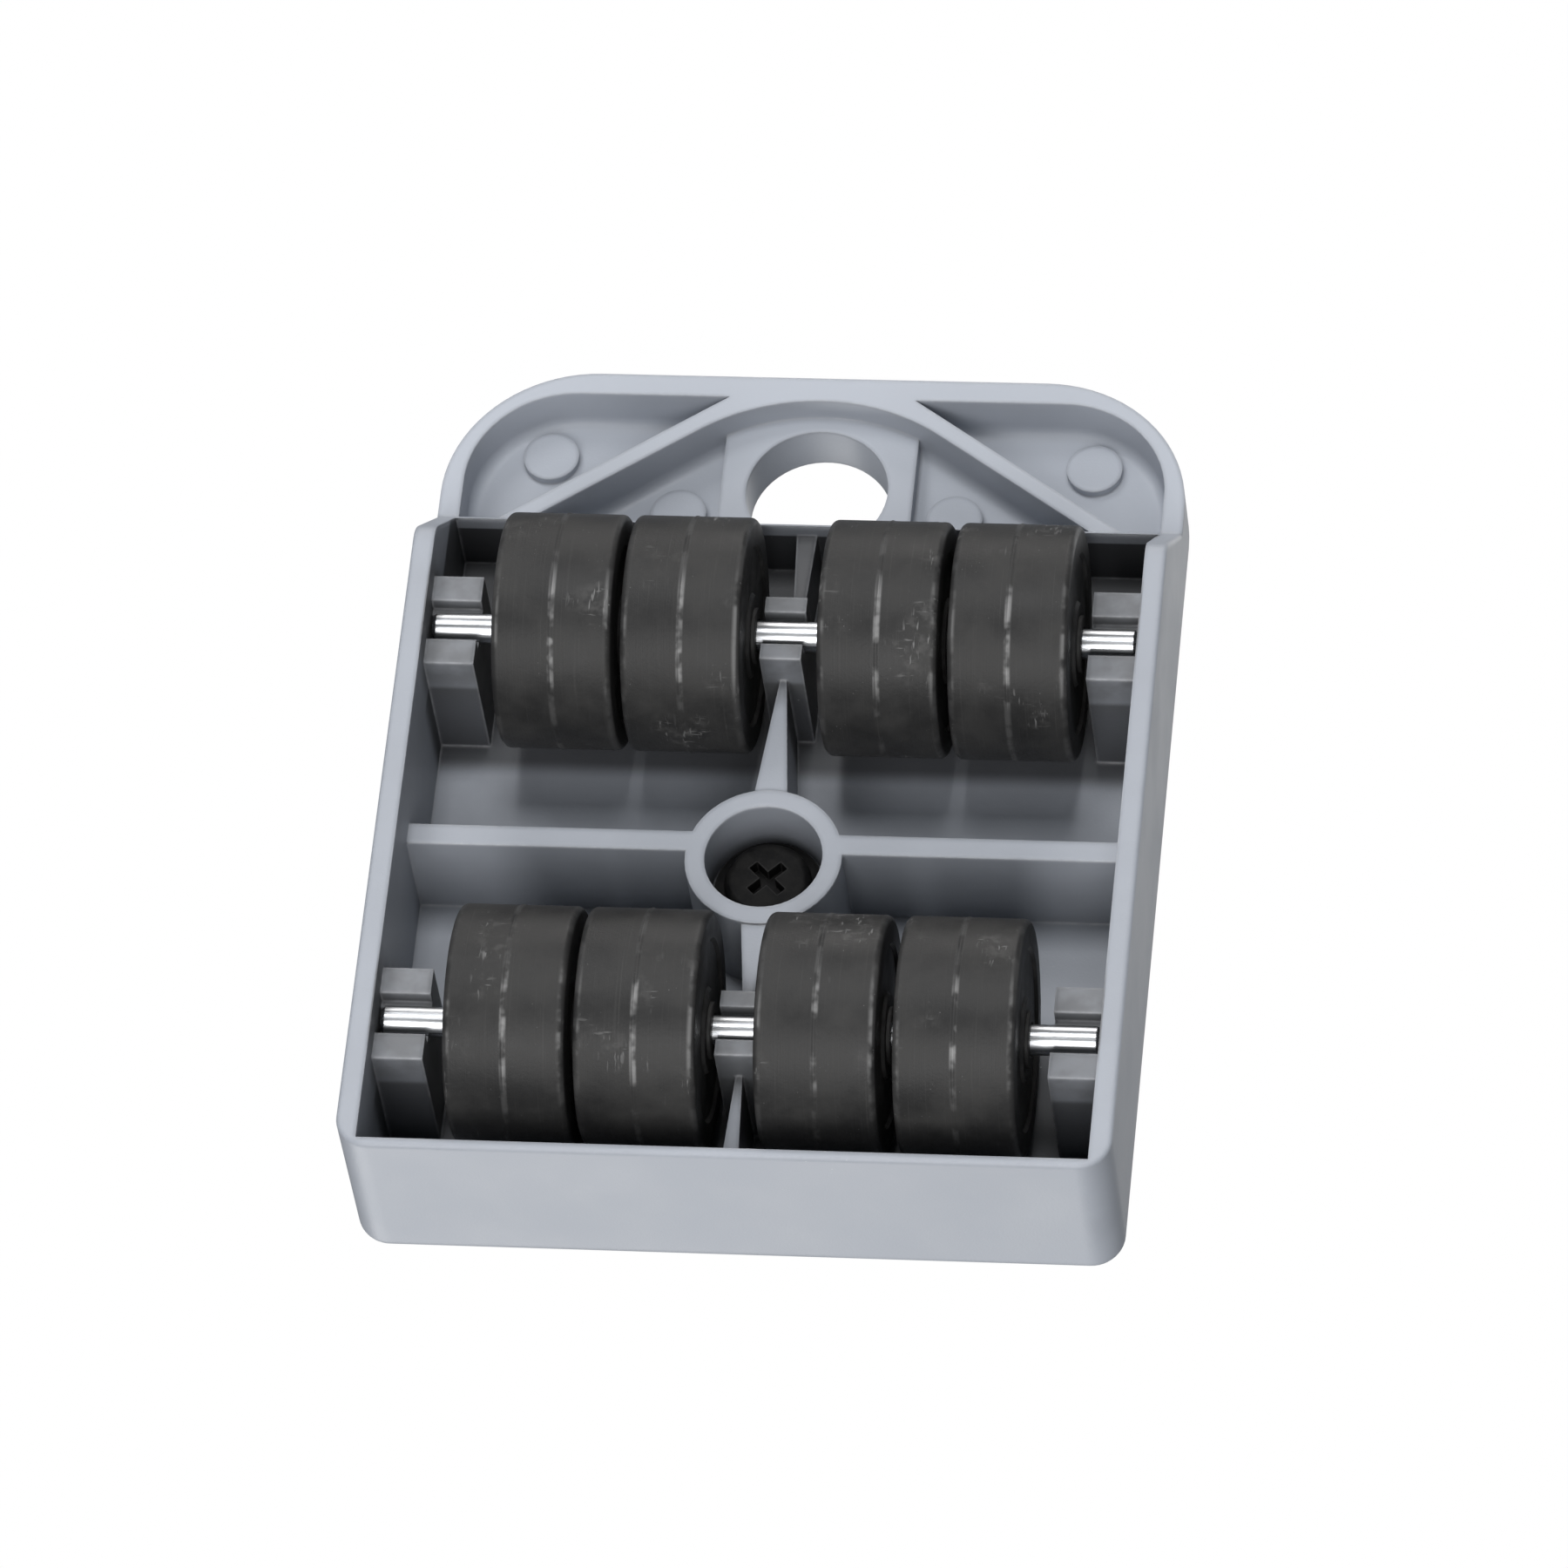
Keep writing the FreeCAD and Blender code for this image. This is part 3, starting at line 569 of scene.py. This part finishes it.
def one_sided_floor():
    """A pale floor that shows only from above, because the camera looks up from below it."""
    bpy.ops.mesh.primitive_plane_add(size=FLOOR_SIZE, location=(0, 0, 0))
    floor = bpy.context.object
    floor.name = "floor"
    m = Material("floor_paper")
    tone = m.ramp(m.noise(6.0, 3.0), 0.3, 0.7, 0.0, 1.0)
    m.finish(m.mix(tone, FLOOR_DARK, FLOOR_LIGHT), 0.7, specular=0.2)
    m.shader.inputs["Emission Color"].default_value = (*WHITE, 1.0)
    m.shader.inputs["Emission Strength"].default_value = FLOOR_GLOW
    behind = m.node("ShaderNodeNewGeometry").outputs["Backfacing"]
    clear = m.node("ShaderNodeBsdfTransparent").outputs["BSDF"]
    chosen = m.node("ShaderNodeMixShader")
    m.link(behind, chosen.inputs["Fac"])
    m.link(m.shader.outputs["BSDF"], chosen.inputs[1])
    m.link(clear, chosen.inputs[2])
    m.link(chosen.outputs["Shader"], m.output.inputs["Surface"])
    floor.data.materials.append(m.material)
    floor.visible_shadow = False
    floor.visible_diffuse = False
    floor.visible_glossy = False
    floor.visible_transmission = False


def soft_world(strength):
    """White to the camera, a soft, even and slightly cool light to the object."""
    world = bpy.data.worlds.new("studio")
    bpy.context.scene.world = world
    world.use_nodes = True
    tree = world.node_tree
    light = tree.nodes["Background"]
    light.inputs["Color"].default_value = (*WORLD_TINT, 1.0)
    light.inputs["Strength"].default_value = strength
    backdrop = tree.nodes.new("ShaderNodeBackground")
    backdrop.inputs["Color"].default_value = (*WHITE, 1.0)
    backdrop.inputs["Strength"].default_value = 1.0
    rays = tree.nodes.new("ShaderNodeLightPath")
    chosen = tree.nodes.new("ShaderNodeMixShader")
    tree.links.new(rays.outputs["Is Camera Ray"], chosen.inputs["Fac"])
    tree.links.new(light.outputs["Background"], chosen.inputs[1])
    tree.links.new(backdrop.outputs["Background"], chosen.inputs[2])
    tree.links.new(chosen.outputs["Shader"], tree.nodes["World Output"].inputs["Surface"])


def toward(azimuth, elevation):
    """The direction from the object to a viewer at an azimuth and elevation in degrees."""
    a, e = math.radians(azimuth), math.radians(elevation)
    return Vector((math.sin(a) * math.cos(e), -math.cos(a) * math.cos(e), math.sin(e)))


def panel_light(name, azimuth, elevation, distance, size, watts, colour=WHITE):
    """A square area light that faces the object."""
    data = bpy.data.lights.new(name, "AREA")
    data.shape = "SQUARE"
    data.size = size
    data.energy = watts
    data.color = colour
    lamp = bpy.data.objects.new(name, data)
    direction = toward(azimuth, elevation)
    lamp.location = OBJECT_MIDDLE + direction * distance
    lamp.rotation_euler = direction.to_track_quat("Z", "Y").to_euler()
    bpy.context.scene.collection.objects.link(lamp)


def camera(azimuth, elevation, roll, distance, aim, lens):
    """The scene's camera, looking at a point from a direction, turned about its own axis."""
    data = bpy.data.cameras.new("camera")
    data.lens = lens
    data.sensor_width = 36.0
    data.clip_end = 20.0
    made = bpy.data.objects.new("camera", data)
    back = toward(azimuth, elevation)
    right = Vector((math.cos(math.radians(azimuth)), math.sin(math.radians(azimuth)), 0))
    up = back.cross(right)
    turn = math.radians(roll)
    cosine, sine = math.cos(turn), math.sin(turn)
    right, up = right * cosine + up * sine, up * cosine - right * sine
    place = Matrix((right, up, back)).transposed().to_4x4()
    place.translation = Vector(aim) + back * distance
    made.matrix_world = place
    bpy.context.scene.collection.objects.link(made)
    bpy.context.scene.camera = made


one_sided_floor()
soft_world(0.28)
# Four lights from below the floor's level, for the underside, and two from above.
panel_light("key_front", azimuth=4.0, elevation=-36.0, distance=1.2, size=0.85, watts=17.3,
            colour=(1.0, 0.99, 0.98))
panel_light("key_left", azimuth=140.0, elevation=-50.0, distance=1.2, size=0.40, watts=3.7,
            colour=(0.99, 0.99, 1.0))
panel_light("key_below", azimuth=180.0, elevation=-81.0, distance=1.2, size=0.35, watts=7.3)
panel_light("rim_behind", azimuth=178.0, elevation=-22.0, distance=1.2, size=0.5, watts=5.0,
            colour=(1.0, 0.97, 0.94))
panel_light("key_above", azimuth=30.0, elevation=50.0, distance=1.3, size=0.9, watts=9.0)
panel_light("fill_above", azimuth=215.0, elevation=35.0, distance=1.4, size=0.9, watts=5.0)
camera(azimuth=-13.734, elevation=-56.384, roll=170.021, distance=1.2776,
       aim=(-0.84 * MM, -0.85 * MM, 17.68 * MM), lens=279.84)
bpy.context.scene.view_settings.view_transform = "Standard"
